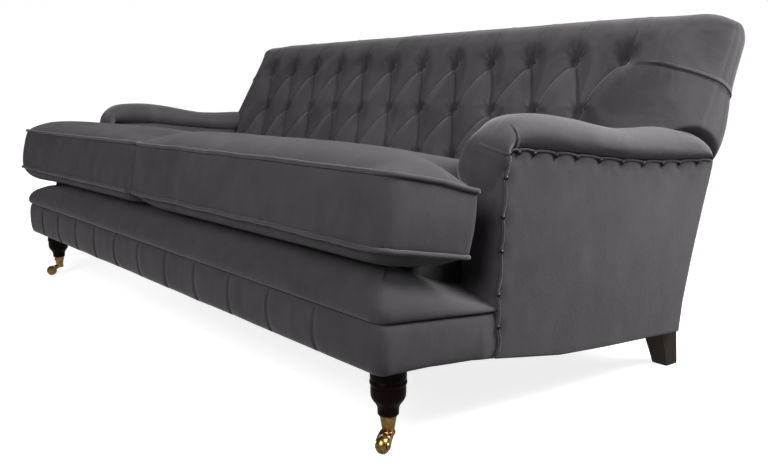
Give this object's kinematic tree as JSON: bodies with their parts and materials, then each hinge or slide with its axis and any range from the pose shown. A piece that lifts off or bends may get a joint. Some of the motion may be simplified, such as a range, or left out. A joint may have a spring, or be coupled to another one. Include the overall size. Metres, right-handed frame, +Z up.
{
  "type": "sofa",
  "caption": "Deep-buttoned velvet club sofa with loose T-shaped seat cushions, low scroll arms, pleated front border, turned front legs on brass castors and raked square rear legs.",
  "frame": {"origin": "middle of the outline on the floor", "axes": "+X across the sofa to the right of a viewer facing it, -Y is the front, +Z up"},
  "size_m": [2, 1.0593, 0.788],
  "materials": {
    "velvet": "charcoal velvet pile",
    "dark_wood": "dark polished mahogany",
    "beech": "plain beech",
    "brass": "polished brass",
    "steel": "plain steel wire",
    "webbing": "woven elastic webbing",
    "dust_cloth": "black non-woven cloth",
    "deck_cloth": "plain lining over padding",
    "dark_nail": "dark lacquered nail heads"
  },
  "bodies": {
    "sofa_frame": {"arm_nails_left": "dark_nail", "arm_nails_right": "dark_nail", "arm_pad_left": "velvet", "arm_pad_right": "velvet", "arm_post_left": "beech", "arm_post_right": "beech", "arm_top_rail_left": "beech", "arm_top_rail_right": "beech", "back_buttons": "velvet", "back_pad": "velvet", "back_post_left": "beech", "back_post_right": "beech", "back_stay": "beech", "back_webbing": "webbing", "castor_cup_left": "brass", "castor_cup_right": "brass", "castor_cup_screws": "brass", "centre_cross_rail": "beech", "corner_block_screws": "steel", "corner_blocks": "beech", "dust_cloth": "dust_cloth", "front_border": "velvet", "front_leg_left": "dark_wood", "front_leg_right": "dark_wood", "front_rail": "beech", "front_roll": "velvet", "leg_hanger_bolts": "steel", "lower_back_rail": "beech", "outside_arm_panel_left": "velvet", "outside_arm_panel_right": "velvet", "outside_back_panel": "velvet", "rear_leg_dowels": "beech", "rear_leg_left": "dark_wood", "rear_leg_right": "dark_wood", "rear_rail": "beech", "seat_deck": "deck_cloth", "seat_springs": "steel", "side_rail_left": "beech", "side_rail_right": "beech", "spring_clips": "steel", "top_back_rail": "beech"},
    "castor_right": {"castor_fork_right": "brass", "castor_axle_right": "brass"},
    "wheel_right": {"castor_wheel_right": "brass"},
    "castor_left": {"castor_fork_left": "brass", "castor_axle_left": "brass"},
    "wheel_left": {"castor_wheel_left": "brass"},
    "cushion_right": {"seat_cushion_right": "velvet"},
    "cushion_left": {"seat_cushion_left": "velvet"}
  },
  "joints": [
    {"name": "castor_swivel_right", "type": "hinge", "parent": "sofa_frame", "child": "castor_right", "pos_m": [0.903, -0.43834, 0.04], "axis": [0, 0, 1], "continuous": true},
    {"name": "castor_wheel_spin_right", "type": "hinge", "parent": "castor_right", "child": "wheel_right", "pos_m": [0.91731, -0.46124, 0.016], "axis": [0.848, 0.53, 0], "continuous": true},
    {"name": "castor_swivel_left", "type": "hinge", "parent": "sofa_frame", "child": "castor_left", "pos_m": [-0.903, -0.43834, 0.04], "axis": [0, 0, 1], "continuous": true},
    {"name": "castor_wheel_spin_left", "type": "hinge", "parent": "castor_left", "child": "wheel_left", "pos_m": [-0.903, -0.46534, 0.016], "axis": [1, 0, 0], "continuous": true},
    {"name": "cushion_slide_right", "type": "slide", "parent": "sofa_frame", "child": "cushion_right", "axis": [0, -0.9863, 0.165], "range_m": [0, 0.6]},
    {"name": "cushion_slide_left", "type": "slide", "parent": "sofa_frame", "child": "cushion_left", "axis": [0, -0.9863, 0.165], "range_m": [0, 0.6]}
  ]
}
